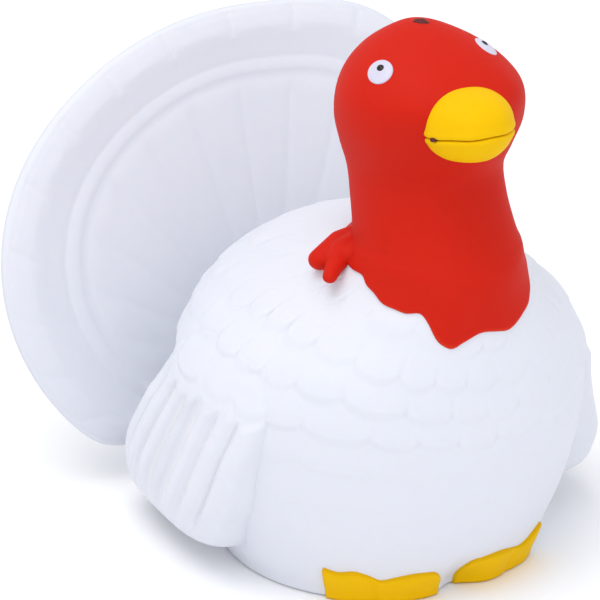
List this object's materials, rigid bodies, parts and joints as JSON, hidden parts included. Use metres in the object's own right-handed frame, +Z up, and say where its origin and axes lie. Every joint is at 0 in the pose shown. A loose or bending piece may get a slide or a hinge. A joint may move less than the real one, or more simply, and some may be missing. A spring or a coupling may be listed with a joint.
{
  "type": "rubber chicken",
  "caption": "Hollow soft-vinyl squeaky bird on a flat round base, with an upright oval tail fan, bare red head and neck, stubby beak and a squeaker in its base.",
  "frame": {"origin": "centre of the flat round base, on the ground", "axes": "+Z up, the bird faces -Y, +X is the bird's left"},
  "size_m": [0.1356, 0.1293, 0.13],
  "materials": {
    "white_vinyl": "satin moulded soft vinyl, cool white",
    "red_vinyl": "satin red paint on soft vinyl",
    "yellow_vinyl": "satin yellow paint on soft vinyl",
    "eye_white": "glossy paint",
    "pupil_black": "glossy paint",
    "maroon_paint": "satin paint",
    "squeaker_plastic": "natural polyethylene",
    "reed_brass": "thin rolled strip"
  },
  "bodies": {
    "body": {"body_skin": "white_vinyl", "left_wing": "white_vinyl", "right_wing": "white_vinyl", "bib": "red_vinyl", "nape_caruncle": "red_vinyl", "neck_ring": "squeaker_plastic", "left_foot": "yellow_vinyl", "right_foot": "yellow_vinyl", "tail_root": "white_vinyl", "squeaker_cup": "squeaker_plastic", "reed_seat": "squeaker_plastic", "reed_clip": "squeaker_plastic", "squeaker_grille": "squeaker_plastic"},
    "neck": {"neck_skin": "red_vinyl"},
    "head": {"head_skin": "red_vinyl", "crown_nub": "maroon_paint", "upper_beak": "yellow_vinyl", "left_eye": "eye_white", "right_eye": "eye_white", "left_pupil": "pupil_black", "right_pupil": "pupil_black"},
    "jaw": {"lower_beak": "yellow_vinyl"},
    "tail": {"tail_fan": "white_vinyl"},
    "reed": {"squeaker_reed": "reed_brass"}
  },
  "joints": [
    {"name": "neck_nod", "type": "hinge", "parent": "body", "child": "neck", "pos_m": [0, -0.0244, 0.084], "axis": [1, 0, 0], "range_deg": [-15, 20], "stiffness_Nm_per_rad": 0.4},
    {"name": "head_turn", "type": "hinge", "parent": "neck", "child": "head", "pos_m": [0, -0.0194, 0.098], "axis": [0, 0, 1], "range_deg": [-25, 25], "stiffness_Nm_per_rad": 0.05},
    {"name": "beak_gape", "type": "hinge", "parent": "head", "child": "jaw", "pos_m": [0, -0.037, 0.1104], "axis": [1, 0, 0], "range_deg": [0, 12], "stiffness_Nm_per_rad": 0.003},
    {"name": "tail_flex", "type": "hinge", "parent": "body", "child": "tail", "pos_m": [0, 0.049, 0.02], "axis": [1, 0, 0], "range_deg": [-12, 6], "stiffness_Nm_per_rad": 1},
    {"name": "reed_flutter", "type": "hinge", "parent": "body", "child": "reed", "pos_m": [0, 0.01605, 0.0042], "axis": [1, 0, 0], "range_deg": [-3, 3], "stiffness_Nm_per_rad": 0.0004}
  ]
}
